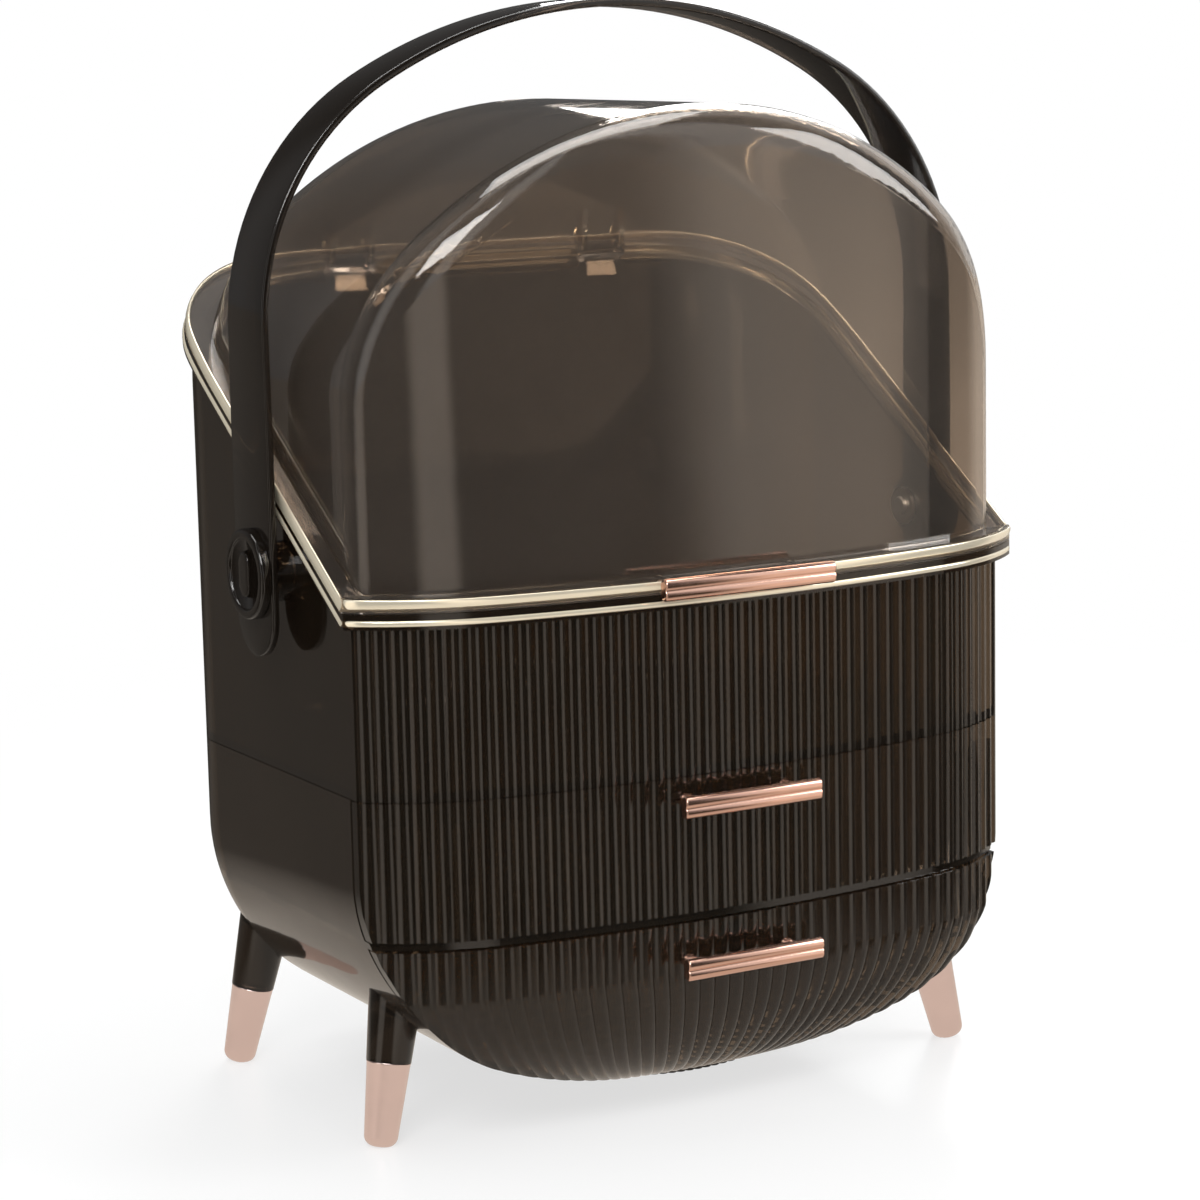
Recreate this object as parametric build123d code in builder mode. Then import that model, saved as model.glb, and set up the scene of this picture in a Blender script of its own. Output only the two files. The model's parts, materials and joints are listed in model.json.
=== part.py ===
"""Dustproof makeup organizer: a smoked case with two drawers, an open bin under a clear lid,
a folding carry handle and four splayed legs.

Frame: +X to the right, +Y to the back, +Z up. The origin is on the floor, under the centre of
the whole object's box. All lengths are in millimetres and all angles in degrees.
"""
from build123d import *
from math import acos, asin, cos, degrees, radians, sin, sqrt
import os

os.makedirs("parts", exist_ok=True)

# ---------------------------------------------------------------- overall form
body_width = 300.0
body_depth = 176.0  # from the front corners to the back face
body_bottom = 13.0  # underside of the rounded bottom, above the floor
body_top = 407.0  # crown of the form that the lid is inset from
bottom_side_radius = 85.0
bottom_crown_radius = 265.0
top_side_radius = 90.0
top_crown_radius = 180.0
back_edge_radius = 38.0  # the edge that runs all round the back
lid_back_radius = 50.0  # the lid is rounder there
roll_depth = 40.0  # the lower drawer's front rolls back by this much

# ---------------------------------------------------------------- bowed, reeded front
bow_centre_radius = 600.0
bow_centre_half_width = 102.0
bow_end_radius = 95.0
reed_pitch = 6.9
reed_depth = 1.1

# ---------------------------------------------------------------- walls and gaps
wall = 3.0
front_wall = 3.2  # behind the valleys of the reeds
lid_wall = 2.2
tray_wall = 2.0
case_seat = 0.3  # gap between pieces that move past each other
seam_gap = 0.5  # gap round a drawer front
roll_clearance = 1.2  # between the case's front edge and the drawer fronts

# ---------------------------------------------------------------- tiers
shelf_bottom = 85.2
shelf_thickness = 3.0
shelf_setback = 1.2
bin_bottom = 144.3
lip_depth = 12.0  # the lower drawer's front wraps this far behind the front corners
lip_height = 57.5
roll_top = 64.0  # where the lower front starts to roll
roll_shares = (0, 0.4, 0.7, 0.9, 0.98)  # of the way down, where its sections lie
roll_narrowing = 0.5  # how closely the front's bow narrows with the bottom

# ---------------------------------------------------------------- slanted rim
rim_front = 218.0  # where bin and lid part, at the front
rim_slope = 0.658  # rise of the rim towards the back, per unit of depth
rim_flange_width = 5.0
rim_flange_height = 6.0
lid_inset = 2.0
lid_front_inset = 3.0
lid_edge_radius = 16.0  # round the lid's front face

# ---------------------------------------------------------------- lid hinges
hinge_spacing = 122.0
hinge_axis_behind_body = 6.0
hinge_axis_drop = 0.8  # below the rim's plane
hinge_pin_radius = 1.5
hinge_knuckle_radius = 3.5
hinge_knuckle_length = 15.0
hinge_fin_thickness = 2.6
hinge_fin_gap = 0.4  # each side of the knuckle
hinge_fin_height = 18.0
hinge_fin_edge = 1.0  # how far a fin's top stands off the lid
hinge_web_angle = 37.0  # where the bin's web meets the knuckle, below level
hinge_fin_angle = 27.0  # where a fin's edge meets its round end, above level
hinge_pin_head = 1.2
hinge_pin_head_rim = 1.0
running_clearance = 0.05

# ---------------------------------------------------------------- carry handle
handle_half_width = 162.0
handle_top = 446.0
handle_thickness = 3.4
handle_side_radius = 110.0
handle_crown_radius = 215.0
handle_arm_width = 34.0
handle_top_width = 29.0
handle_tail = 33.0  # below the pivot
pivot_behind_corners = 64.0
pivot_height = 226.0
pivot_radius = 5.0
pivot_bush_radius = 12.0
pivot_cap_radius = 18.0
pivot_cap_thickness = 4.5
pivot_cap_edge = 1.0
pivot_ring_width = 4.0
pivot_recess = 1.4
pivot_boss_length = 18.0
pivot_boss_width = 9.0
pivot_screw_radius = 2.0
pivot_screw_length = 8.0
pivot_washer_radius = 8.0
pivot_washer_thickness = 1.6

# ---------------------------------------------------------------- pull bars
bar_lobe_radius = 2.5
bar_lobe_offset = 1.9
bar_standoff = 9.5  # from the front's crest to the bar's back
bar_post_radius = 2.4
bar_post_inset = 9.0  # from the bar's end
bar_screw_radius = 1.3
bar_screw_head_radius = 2.8
bar_screw_head = 1.6
drawer_bar_length = 63.0
lid_bar_length = 78.0
upper_bar_below_top = 9.0
lower_bar_below_top = 15.0

# ---------------------------------------------------------------- drawers
upper_tray_inset = 4.5
lower_tray_inset = 6.5
tray_length = 150.0  # from the front corners to the tray's back
upper_tray_height = 46.0
lower_tray_below_shelf = 3.0
runner_width = 4.0
runner_spacing = 120.0

# ---------------------------------------------------------------- legs
foot_spacing = 274.0
front_foot_behind_corners = 18.0
back_foot_behind_corners = 156.0
leg_splay_side = 12.0  # how far the leg leans inwards over leg_splay_height
leg_splay_depth = 6.0
leg_splay_height = 60.0
leg_joint_height = 33.0
leg_top_radius = 11.5
leg_joint_radius = 9.0
leg_tip_radius = 6.6
leg_tip_rounding = 4.0
leg_tip_sink = 1.0  # the rounded end is cut off level this far up
leg_top_inside = 72.0  # along the leg, to a point inside the case
leg_stud_radius = 4.0
leg_spigot_radius = 5.0
leg_spigot_length = 10.0

# ---------------------------------------------------------------- bin screws
bin_screw_radius = 1.5
bin_screw_head_radius = 3.0
bin_screw_head = 1.6
bin_screw_length = 9.0
bin_boss_radius = 4.5
bin_boss_length = 14.0
bin_screw_spacing = 90.0
bin_screw_behind_corners = 164.0

# ---------------------------------------------------------------- worked out
half = body_width / 2
bow_centre_angle = degrees(asin(bow_centre_half_width / bow_centre_radius))
bow_end_sine = sin(radians(bow_centre_angle)) + (half - bow_centre_half_width) / bow_end_radius
bow_end_angle = degrees(asin(bow_end_sine))
bow_sag = bow_centre_radius * (1 - cos(radians(bow_centre_angle))) + bow_end_radius * (
    cos(radians(bow_centre_angle)) - cos(radians(bow_end_angle))
)
bow_centre_run = radians(bow_centre_angle) * bow_centre_radius
bow_end_run = radians(bow_end_angle - bow_centre_angle) * bow_end_radius
bow_half_run = bow_centre_run + bow_end_run
reed_count = round(2 * bow_half_run / reed_pitch)

front_plate_inset = reed_depth + front_wall
bar_depth = 2 * bar_lobe_radius
front_reach = bow_sag + bar_standoff + bar_depth
back_reach = body_depth + hinge_axis_behind_body + hinge_knuckle_radius
front_y = (front_reach - back_reach) / 2  # the front corners, in the row's frame
back_y = front_y + body_depth
crest_y = front_y - bow_sag


# ---------------------------------------------------------------- shared outlines
def side_run(crown_radius, side_radius):
    """Angle at which the crown arc hands over to the side arc of a rounded end."""
    return degrees(acos((half - side_radius) / (crown_radius - side_radius)))


def body_form(inset, back_radius=back_edge_radius):
    """The rounded form of the whole body, drawn in by inset, with its back edge rounded."""
    bottom_turn = 90 - side_run(bottom_crown_radius, bottom_side_radius)
    top_turn = 90 - side_run(top_crown_radius, top_side_radius)
    top_drop = top_side_radius * cos(radians(top_turn)) + top_crown_radius * (1 - cos(radians(top_turn)))
    with BuildPart() as form:
        with BuildSketch(Plane.XZ.offset(inset - back_y)):
            with BuildLine():
                crown = JernArc((0, body_bottom + inset), (1, 0), bottom_crown_radius - inset, bottom_turn)
                side = JernArc(crown @ 1, crown % 1, bottom_side_radius - inset, 90 - bottom_turn)
                rise = Line(side @ 1, (half - inset, body_top - top_drop))
                shoulder = JernArc(rise @ 1, (0, 1), top_side_radius - inset, 90 - top_turn)
                JernArc(shoulder @ 1, shoulder % 1, top_crown_radius - inset, top_turn)
                mirror(about=Plane.YZ)
            make_face()
        extrude(amount=body_depth + 2 * bow_sag)
        fillet(form.faces().sort_by(Axis.Y)[-1].edges(), back_radius - inset)
    return form.part


def bow_at(run, inset):
    """Point on the bowed front, run along it from the middle, drawn in by inset."""
    length = abs(run)
    side = 1 if run >= 0 else -1
    if length <= bow_centre_run:
        angle = length / bow_centre_radius
        across = bow_centre_radius * sin(angle)
        depth = bow_centre_radius * (1 - cos(angle))
    else:
        start = radians(bow_centre_angle)
        angle = start + (length - bow_centre_run) / bow_end_radius
        across = bow_centre_half_width + bow_end_radius * (sin(angle) - sin(start))
        depth = bow_centre_radius * (1 - cos(start)) + bow_end_radius * (cos(start) - cos(angle))
    return (side * (across - inset * sin(angle)), crest_y + depth + inset * cos(angle))


def bow_section(height, inset, reeded, narrowing=1.0, setback=0.0):
    """Level section of all that lies behind the bowed front, narrowed and set back."""

    def place(run, extra=0.0):
        across, along = bow_at(run, inset + extra)
        return (across * narrowing, along + setback)

    with BuildSketch(Plane.XY.offset(height)) as section:
        with BuildLine():
            if reeded:
                step = 2 * bow_half_run / reed_count
                for reed in range(reed_count):
                    run = -bow_half_run + reed * step
                    crest = place(run + step / 2)
                    ThreePointArc(place(run, reed_depth), crest, place(run + step, reed_depth))
                end = place(bow_half_run, reed_depth)
            else:
                right = (bow_centre_run, (bow_centre_run + bow_half_run) / 2, bow_half_run)
                ThreePointArc(*[place(-run) for run in right])
                ThreePointArc(*[place(run) for run in (-right[0], 0, right[0])])
                ThreePointArc(*[place(run) for run in right])
                end = place(bow_half_run)
            corner = (
                end[0] + body_width * cos(radians(bow_end_angle)),
                end[1] + body_width * sin(radians(bow_end_angle)),
            )
            Polyline(
                end,
                corner,
                (corner[0], back_y + body_width),
                (-corner[0], back_y + body_width),
                (-corner[0], corner[1]),
                (-end[0], end[1]),
            )
        make_face()
    return section.sketch


def behind_bow(inset, reeded=False):
    """Everything behind the bowed front, drawn in by inset, as a tall prism."""
    with BuildPart() as region:
        add(bow_section(-body_bottom, inset, reeded))
        extrude(amount=body_top + 3 * body_bottom)
    return region.part


def half_width_at(height):
    """Half the body's width at a height in its rounded bottom."""
    turn = side_run(bottom_crown_radius, bottom_side_radius)
    crown_end = body_bottom + bottom_crown_radius * (1 - sin(radians(turn)))
    side_centre = crown_end + bottom_side_radius * sin(radians(turn))
    if height > crown_end:
        return half - bottom_side_radius + sqrt(bottom_side_radius**2 - (side_centre - height) ** 2)
    return sqrt(bottom_crown_radius**2 - (bottom_crown_radius + body_bottom - height) ** 2)


def behind_roll(inset, reeded=False):
    """Everything behind the lower drawer's front, which narrows and rolls under, drawn in by inset."""
    with BuildPart() as region:
        add(bow_section(roll_top, inset, reeded))
        extrude(amount=bin_bottom - roll_top)
        for share in roll_shares:
            height = roll_top - share * (roll_top - body_bottom)
            narrowing = 1 - roll_narrowing * (1 - half_width_at(height) / half_width_at(roll_top))
            setback = roll_depth * (1 - sqrt(1 - share**2))
            add(bow_section(height, inset, reeded, narrowing, setback))
        loft()
        extrude(region.faces().sort_by(Axis.Z)[0], amount=2 * body_bottom)
    return region.part


def rim_height(depth, lift):
    """Height of the rim plane, depth behind the front corners, raised by lift."""
    return rim_front + lift + rim_slope * max(depth, 0)


def rim_band(low, high):
    """The slab that follows the rim in side view, from low to high above it."""
    front = -2 * bow_sag
    back = body_depth + 2 * bow_sag
    with BuildPart() as band:
        with BuildSketch(Plane.YZ):
            with BuildLine():
                Polyline(
                    (front_y + front, rim_height(front, low)),
                    (front_y, rim_height(0, low)),
                    (front_y + back, rim_height(back, low)),
                    (front_y + back, rim_height(back, high)),
                    (front_y, rim_height(0, high)),
                    (front_y + front, rim_height(front, high)),
                    close=True,
                )
            make_face()
        extrude(amount=body_width, both=True)
    return band.part


def level_band(low, high):
    """A level slab between two heights."""
    with BuildPart() as band:
        with BuildSketch(Plane.XY.offset(low)):
            Rectangle(2 * body_width, 4 * body_depth)
        extrude(amount=high - low)
    return band.part


body_outer = body_form(0)
body_inner = body_form(wall)
front_crests = behind_bow(0, reeded=True)
behind_front_plate = behind_bow(front_plate_inset)
far_above = body_top + body_bottom

# What lies inside the walls, below the rim: the space of the bin.
with BuildPart() as bin_space:
    add(body_inner)
    add(behind_front_plate, mode=Mode.INTERSECT)
    add(level_band(bin_bottom + wall, far_above), mode=Mode.INTERSECT)

# ---------------------------------------------------------------- lower case
with BuildPart() as case_bays:
    add(body_inner)
    add(level_band(shelf_bottom, shelf_bottom + shelf_thickness), mode=Mode.SUBTRACT)

with BuildPart() as lip_zone:
    with BuildSketch(Plane.YZ):
        with BuildLine():
            Polyline(
                (crest_y - body_bottom, -body_bottom),
                (front_y + lip_depth, -body_bottom),
                (front_y + lip_depth, lip_height),
                (crest_y - body_bottom, lip_height),
                close=True,
            )
        make_face()
    extrude(amount=body_width, both=True)

with BuildPart() as lip_clearance:
    with BuildSketch(Plane.YZ):
        with BuildLine():
            Polyline(
                (crest_y - body_bottom, -body_bottom),
                (front_y + lip_depth + case_seat, -body_bottom),
                (front_y + lip_depth + case_seat, lip_height + case_seat),
                (crest_y - body_bottom, lip_height + case_seat),
                close=True,
            )
        make_face()
    extrude(amount=body_width, both=True)

with BuildPart() as shelf_nose:
    add(body_outer)
    add(behind_bow(reed_depth + shelf_setback), mode=Mode.INTERSECT)
    add(level_band(shelf_bottom, shelf_bottom + shelf_thickness), mode=Mode.INTERSECT)

with BuildPart() as runner_ribs:
    with BuildSketch(Plane.XY):
        with Locations((0, front_y + body_depth / 2)):
            with GridLocations(runner_spacing, 0, 2, 1):
                Rectangle(runner_width, body_depth - 2 * back_edge_radius)
    extrude(amount=shelf_bottom)
    add(body_outer, mode=Mode.INTERSECT)
    add(body_form(lower_tray_inset - case_seat), mode=Mode.SUBTRACT)

leg_places = [
    ("front", -1, front_y + front_foot_behind_corners, 1),
    ("front", 1, front_y + front_foot_behind_corners, 1),
    ("back", -1, front_y + back_foot_behind_corners, -1),
    ("back", 1, front_y + back_foot_behind_corners, -1),
]


def leg_plane(side, foot_y, lean):
    """Plane across a leg's axis at the floor, with its normal up the leg."""
    up_the_leg = (-side * leg_splay_side, lean * leg_splay_depth, leg_splay_height)
    across_the_leg = (leg_splay_height, 0, side * leg_splay_side)
    return Plane((side * foot_spacing / 2, foot_y, 0), x_dir=across_the_leg, z_dir=up_the_leg)


leg_centres = [(name, side, leg_plane(side, foot_y, lean)) for name, side, foot_y, lean in leg_places]
bin_screw_y = front_y + bin_screw_behind_corners

with BuildPart() as screw_bosses:
    with BuildSketch(Plane.XY.offset(bin_bottom - case_seat - bin_boss_length)):
        with Locations((0, bin_screw_y)):
            with GridLocations(bin_screw_spacing, 0, 3, 1):
                Circle(bin_boss_radius)
                with Locations((0, (back_y - bin_screw_y) / 2)):
                    Rectangle(bin_boss_radius, back_y - bin_screw_y - wall / 2)
    extrude(amount=bin_boss_length)

with BuildPart() as lower_case:
    add(body_outer)
    add(behind_roll(front_plate_inset + roll_clearance), mode=Mode.INTERSECT)
    add(level_band(0, bin_bottom - case_seat), mode=Mode.INTERSECT)
    add(case_bays.part, mode=Mode.SUBTRACT)
    add(lip_clearance.part, mode=Mode.SUBTRACT)
    add(shelf_nose.part)
    add(runner_ribs.part)
    add(screw_bosses.part)
    with Locations(Plane.XY.offset(bin_bottom - case_seat)):
        with Locations((0, bin_screw_y)):
            with GridLocations(bin_screw_spacing, 0, 3, 1):
                Hole(bin_screw_radius, depth=bin_boss_length - wall)
    for name, side, plane in leg_centres:
        with BuildSketch(plane):
            Circle(leg_stud_radius + running_clearance)
        extrude(amount=leg_top_inside + leg_stud_radius, mode=Mode.SUBTRACT)
lower_case.part.label = "lower_case"
export_step(lower_case.part, "parts/lower_case.step")

# ---------------------------------------------------------------- legs
leg_lean = sqrt(leg_splay_height**2 + leg_splay_side**2 + leg_splay_depth**2) / leg_splay_height
leg_joint = leg_joint_height * leg_lean

for name, side, plane in leg_centres:
    label = f"{name}_{'left' if side < 0 else 'right'}"

    with BuildPart() as leg:
        with BuildSketch(plane.offset(leg_joint)):
            Circle(leg_joint_radius)
        with BuildSketch(plane.offset(leg_top_inside)):
            Circle(leg_top_radius)
        loft()
        add(body_outer, mode=Mode.SUBTRACT)
        with BuildSketch(plane.offset(leg_joint)):
            Circle(leg_stud_radius)
        extrude(amount=leg_top_inside - leg_joint + leg_stud_radius)
        add(body_inner, mode=Mode.SUBTRACT)
        with BuildSketch(plane.offset(leg_joint - leg_spigot_length)):
            Circle(leg_spigot_radius)
        extrude(amount=leg_spigot_length)
    leg.part.label = f"leg_{label}"
    export_step(leg.part, f"parts/leg_{label}.step")

    with BuildPart() as leg_tip:
        with BuildSketch(plane.offset(-leg_tip_sink)):
            Circle(leg_tip_radius)
        with BuildSketch(plane.offset(leg_joint)):
            Circle(leg_joint_radius)
        loft()
        fillet(leg_tip.edges().sort_by(Axis.Z)[0], leg_tip_rounding)
        with BuildSketch(plane.offset(leg_joint)):
            Circle(leg_spigot_radius)
        extrude(amount=-leg_spigot_length, mode=Mode.SUBTRACT)
        add(level_band(0, shelf_bottom), mode=Mode.INTERSECT)
    leg_tip.part.label = f"leg_tip_{label}"
    export_step(leg_tip.part, f"parts/leg_tip_{label}.step")

# ---------------------------------------------------------------- bin
hinge_y = back_y + hinge_axis_behind_body
hinge_z = rim_height(body_depth + hinge_axis_behind_body, -hinge_axis_drop)
hinge_centres = [-hinge_spacing / 2, hinge_spacing / 2]
fin_inner = hinge_knuckle_length / 2 + hinge_fin_gap
fin_outer = fin_inner + hinge_fin_thickness
pivot_y = front_y + pivot_behind_corners

notch_width = 2 * (fin_outer + hinge_pin_head + case_seat)
notch_height = 4 * hinge_knuckle_radius + rim_flange_height

with BuildPart() as hinge_notches:
    with BuildSketch(Plane.XZ.offset(-back_y - case_seat)):
        with Locations((0, hinge_z)):
            with GridLocations(hinge_spacing, 0, 2, 1):
                Rectangle(notch_width, notch_height)
    extrude(amount=-2 * hinge_knuckle_radius - rim_flange_width)

with BuildPart() as bin_flange:
    add(body_form(-rim_flange_width))
    add(behind_bow(-rim_flange_width), mode=Mode.INTERSECT)
    add(rim_band(-rim_flange_height, 0), mode=Mode.INTERSECT)
    add(hinge_notches.part, mode=Mode.SUBTRACT)

with BuildPart() as hinge_knuckles:
    for hinge_x in hinge_centres:
        with BuildSketch(Plane.YZ.offset(hinge_x - hinge_knuckle_length / 2)):
            with BuildLine():
                Polyline(
                    (back_y - wall / 2, hinge_z - 4 * hinge_knuckle_radius),
                    (
                        hinge_y + hinge_knuckle_radius * cos(radians(hinge_web_angle)),
                        hinge_z - hinge_knuckle_radius * sin(radians(hinge_web_angle)),
                    ),
                    (hinge_y, hinge_z),
                    (back_y - wall / 2, rim_height(body_depth - wall / 2, -hinge_axis_drop)),
                    close=True,
                )
            make_face()
            with Locations((hinge_y, hinge_z)):
                Circle(hinge_knuckle_radius)
        extrude(amount=hinge_knuckle_length)

with BuildPart() as pivot_bushes:
    with BuildSketch(Plane.YZ.offset(half - wall / 2)):
        with Locations((pivot_y, pivot_height)):
            Circle(pivot_bush_radius)
    extrude(amount=handle_half_width - handle_thickness - case_seat - half + wall / 2)
    mirror(about=Plane.YZ)

with BuildPart() as bin_shell:
    add(body_outer)
    add(front_crests, mode=Mode.INTERSECT)
    add(level_band(bin_bottom, far_above), mode=Mode.INTERSECT)
    add(rim_band(0, 2 * body_top), mode=Mode.SUBTRACT)
    add(bin_flange.part)
    add(hinge_knuckles.part)
    add(pivot_bushes.part)
    add(bin_space.part, mode=Mode.SUBTRACT)
    with BuildSketch(Plane.YZ.offset(-body_width)):
        with Locations((pivot_y, pivot_height)):
            Circle(pivot_radius + running_clearance)
        with Locations((hinge_y, hinge_z)):
            Circle(hinge_pin_radius + running_clearance)
    extrude(amount=2 * body_width, mode=Mode.SUBTRACT)
    with Locations(Plane.XY.offset(bin_bottom + wall)):
        with Locations((0, bin_screw_y)):
            with GridLocations(bin_screw_spacing, 0, 3, 1):
                Hole(bin_screw_radius + running_clearance, depth=wall)
bin_shell.part.label = "bin"
export_step(bin_shell.part, "parts/bin.step")

for index, screw_x in enumerate((-bin_screw_spacing, 0, bin_screw_spacing), start=1):
    with BuildPart() as bin_screw:
        with BuildSketch(Plane.XY.offset(bin_bottom + wall)):
            with Locations((screw_x, bin_screw_y)):
                Circle(bin_screw_head_radius)
        extrude(amount=bin_screw_head)
        fillet(bin_screw.edges().sort_by(Axis.Z)[-1], bin_screw_head / 2)
        with BuildSketch(Plane.XY.offset(bin_bottom + wall)):
            with Locations((screw_x, bin_screw_y)):
                Circle(bin_screw_radius)
        extrude(amount=-bin_screw_length)
    bin_screw.part.label = f"bin_screw_{index}"
    export_step(bin_screw.part, f"parts/bin_screw_{index}.step")

# ---------------------------------------------------------------- lid
rim_gap = case_seat


def lid_form(inset):
    """The lid's rounded form, drawn in by inset, with its front edge rounded."""
    with BuildPart() as form:
        add(body_form(lid_inset + inset, lid_back_radius + lid_inset))
        add(behind_bow(lid_front_inset + inset), mode=Mode.INTERSECT)
        add(level_band(bin_bottom, far_above), mode=Mode.INTERSECT)
        front_faces = form.faces().filter_by(lambda face: face.normal_at().Y < -0.5)
        upright = front_faces.edges().filter_by(Axis.Z)
        bow_seams = upright.filter_by(lambda edge: abs(edge.center().X) < half - top_side_radius / 4)
        foot = front_faces.edges().filter_by_position(Axis.Z, bin_bottom, bin_bottom)
        rim_edges = [edge for edge in front_faces.edges() if edge not in bow_seams and edge not in foot]
        fillet(rim_edges, lid_edge_radius - inset)
        add(rim_band(rim_gap, 2 * body_top), mode=Mode.INTERSECT)
    return form.part


lid_outer = lid_form(0)
lid_inner = lid_form(lid_wall)
lid_back_y = back_y - lid_inset
bar_y = crest_y - bar_standoff - bar_lobe_radius
lid_bar_z = rim_front + rim_gap + rim_flange_height / 2


def post_places(bar_length, height):
    """Where a bar's two posts stand, on a plane facing the front."""
    return [(side * (bar_length / 2 - bar_post_inset), height) for side in (-1, 1)]


with BuildPart() as lid_flange:
    add(body_form(-rim_flange_width))
    add(behind_bow(-rim_flange_width), mode=Mode.INTERSECT)
    add(rim_band(rim_gap, rim_gap + rim_flange_height), mode=Mode.INTERSECT)
    add(hinge_notches.part, mode=Mode.SUBTRACT)

with BuildPart() as hinge_fins:
    fin_foot = rim_height(body_depth + hinge_axis_behind_body - hinge_knuckle_radius, 2 * rim_gap)
    for hinge_x in hinge_centres:
        for fin_x in (hinge_x - fin_outer, hinge_x + fin_inner):
            with BuildSketch(Plane.YZ.offset(fin_x)):
                with BuildLine():
                    Polyline(
                        (lid_back_y - lid_wall / 2, fin_foot),
                        (lid_back_y - lid_wall / 2, hinge_z + hinge_fin_height),
                        (lid_back_y + hinge_fin_edge, hinge_z + hinge_fin_height),
                        (
                            hinge_y + hinge_knuckle_radius * cos(radians(hinge_fin_angle)),
                            hinge_z + hinge_knuckle_radius * sin(radians(hinge_fin_angle)),
                        ),
                        (hinge_y, hinge_z),
                        (hinge_y - hinge_knuckle_radius, fin_foot),
                        close=True,
                    )
                make_face()
                with Locations((hinge_y, hinge_z)):
                    Circle(hinge_knuckle_radius)
            extrude(amount=hinge_fin_thickness)

with BuildPart() as lid:
    add(lid_outer)
    add(lid_flange.part)
    add(hinge_fins.part)
    add(lid_inner, mode=Mode.SUBTRACT)
    with BuildSketch(Plane.YZ.offset(-body_width)):
        with Locations((hinge_y, hinge_z)):
            Circle(hinge_pin_radius + running_clearance)
    extrude(amount=2 * body_width, mode=Mode.SUBTRACT)
    with BuildSketch(Plane.XZ.offset(-front_y)):
        with Locations(*post_places(lid_bar_length, lid_bar_z)):
            Circle(bar_screw_radius)
    extrude(amount=2 * bow_sag, mode=Mode.SUBTRACT)
lid.part.label = "lid"
export_step(lid.part, "parts/lid.step")

for side, hinge_x in zip(("left", "right"), hinge_centres):
    with BuildPart() as hinge_pin:
        with BuildSketch(Plane.YZ.offset(hinge_x - fin_outer)):
            with Locations((hinge_y, hinge_z)):
                Circle(hinge_pin_radius)
        extrude(amount=2 * fin_outer)
        for head_x, reach in ((hinge_x - fin_outer, -hinge_pin_head), (hinge_x + fin_outer, hinge_pin_head)):
            with BuildSketch(Plane.YZ.offset(head_x)):
                with Locations((hinge_y, hinge_z)):
                    Circle(hinge_pin_radius + hinge_pin_head_rim)
            extrude(amount=reach)
        fillet(hinge_pin.faces().sort_by(Axis.X)[0].edges(), hinge_pin_head / 2)
        fillet(hinge_pin.faces().sort_by(Axis.X)[-1].edges(), hinge_pin_head / 2)
    hinge_pin.part.label = f"hinge_pin_{side}"
    export_step(hinge_pin.part, f"parts/hinge_pin_{side}.step")

# ---------------------------------------------------------------- drawers
behind_tray_front = behind_bow(front_plate_inset + tray_wall)
upper_front_bottom = shelf_bottom + shelf_thickness + seam_gap
upper_front_top = bin_bottom - seam_gap
lower_front_top = shelf_bottom - seam_gap
upper_bar_z = upper_front_top - upper_bar_below_top
lower_bar_z = lower_front_top - lower_bar_below_top
upper_tray_bottom = shelf_bottom + shelf_thickness + case_seat
lower_tray_top = shelf_bottom - lower_tray_below_shelf

with BuildPart() as tray_span:
    with BuildSketch(Plane.XZ.offset(-front_y - tray_length)):
        with Locations((0, bin_bottom / 2)):
            Rectangle(2 * body_width, 2 * bin_bottom)
    extrude(amount=tray_length + 2 * bow_sag)

with BuildPart() as tray_inner_span:
    with BuildSketch(Plane.XZ.offset(-front_y - tray_length + tray_wall)):
        with Locations((0, bin_bottom / 2)):
            Rectangle(2 * body_width, 2 * bin_bottom)
    extrude(amount=tray_length + 2 * bow_sag)

with BuildPart() as upper_drawer_front:
    add(body_outer)
    add(front_crests, mode=Mode.INTERSECT)
    add(level_band(upper_front_bottom, upper_front_top), mode=Mode.INTERSECT)
    add(behind_front_plate, mode=Mode.SUBTRACT)
    with BuildSketch(Plane.XZ.offset(-front_y)):
        with Locations(*post_places(drawer_bar_length, upper_bar_z)):
            Circle(bar_screw_radius)
    extrude(amount=2 * bow_sag, mode=Mode.SUBTRACT)

with BuildPart() as upper_drawer_tray:
    add(body_form(upper_tray_inset))
    add(behind_front_plate, mode=Mode.INTERSECT)
    add(level_band(upper_tray_bottom, upper_tray_bottom + upper_tray_height), mode=Mode.INTERSECT)
    add(tray_span.part, mode=Mode.INTERSECT)

with BuildPart() as upper_tray_space:
    add(body_form(upper_tray_inset + tray_wall))
    add(behind_tray_front, mode=Mode.INTERSECT)
    add(level_band(upper_tray_bottom + tray_wall, bin_bottom), mode=Mode.INTERSECT)
    add(tray_inner_span.part, mode=Mode.INTERSECT)

behind_rolled_plate = behind_roll(front_plate_inset)

with BuildPart() as lower_front_hollow:
    add(body_form(front_wall))
    add(behind_rolled_plate, mode=Mode.INTERSECT)

with BuildPart() as behind_lower_front:
    add(behind_rolled_plate)
    add(lip_zone.part, mode=Mode.SUBTRACT)

with BuildPart() as lower_drawer_front:
    add(body_outer)
    add(behind_roll(0, reeded=True), mode=Mode.INTERSECT)
    add(level_band(0, lower_front_top), mode=Mode.INTERSECT)
    add(lower_front_hollow.part, mode=Mode.SUBTRACT)
    add(behind_lower_front.part, mode=Mode.SUBTRACT)
    with BuildSketch(Plane.XZ.offset(-front_y)):
        with Locations(*post_places(drawer_bar_length, lower_bar_z)):
            Circle(bar_screw_radius)
    extrude(amount=2 * bow_sag, mode=Mode.SUBTRACT)

with BuildPart() as lower_drawer_tray:
    add(body_form(lower_tray_inset))
    add(behind_rolled_plate, mode=Mode.INTERSECT)
    add(level_band(0, lower_tray_top), mode=Mode.INTERSECT)
    add(tray_span.part, mode=Mode.INTERSECT)

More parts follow.
